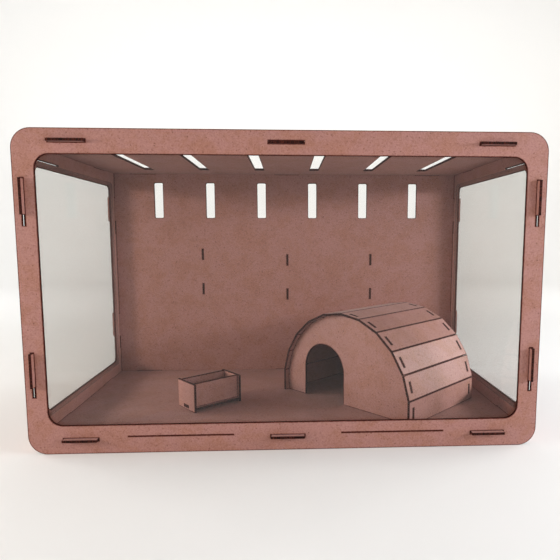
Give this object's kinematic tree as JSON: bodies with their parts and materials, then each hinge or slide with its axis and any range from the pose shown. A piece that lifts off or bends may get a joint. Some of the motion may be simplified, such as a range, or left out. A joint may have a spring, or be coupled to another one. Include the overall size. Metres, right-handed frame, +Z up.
{
  "type": "small animal cage",
  "caption": "Tab-and-slot laser-cut MDF case with clear front and side windows, slotted vents, a loose arched hide with a slatted roof and a small feed trough.",
  "frame": {"origin": "on the ground, under the middle of the whole case", "axes": "+X to the right seen from the front, +Y towards the back, +Z up; the front panel faces -Y"},
  "size_m": [0.6, 0.321, 0.37],
  "materials": {
    "mdf": "smooth pressed face of reddish-brown MDF with dark laser-burnt cut edges",
    "acrylic": "clear cast acrylic sheet with polished faces"
  },
  "bodies": {
    "case": {"back_panel": "mdf", "left_side_panel": "mdf", "right_side_panel": "mdf", "ceiling_board": "mdf", "floor_board": "mdf", "left_pane": "acrylic", "right_pane": "acrylic"},
    "front": {"front_panel": "mdf", "front_pane": "acrylic"},
    "hide": {"hide_front_arch": "mdf", "hide_back_arch": "mdf", "hide_slat_01": "mdf", "hide_slat_02": "mdf", "hide_slat_03": "mdf", "hide_slat_04": "mdf", "hide_slat_05": "mdf", "hide_slat_06": "mdf", "hide_slat_07": "mdf", "hide_slat_08": "mdf", "hide_slat_09": "mdf", "hide_slat_10": "mdf", "hide_slat_11": "mdf", "hide_slat_12": "mdf"},
    "trough": {"trough_base": "mdf", "trough_front_wall": "mdf", "trough_back_wall": "mdf", "trough_left_side": "mdf", "trough_right_side": "mdf"}
  },
  "joints": [
    {"name": "front_pull", "type": "slide", "parent": "case", "child": "front", "axis": [0, -1, 0], "range_m": [0, 0.06]},
    {"name": "hide_lift", "type": "slide", "parent": "case", "child": "hide", "axis": [0, 0, 1], "range_m": [0, 0.1]},
    {"name": "trough_lift", "type": "slide", "parent": "case", "child": "trough", "axis": [0, 0, 1], "range_m": [0, 0.1]}
  ]
}
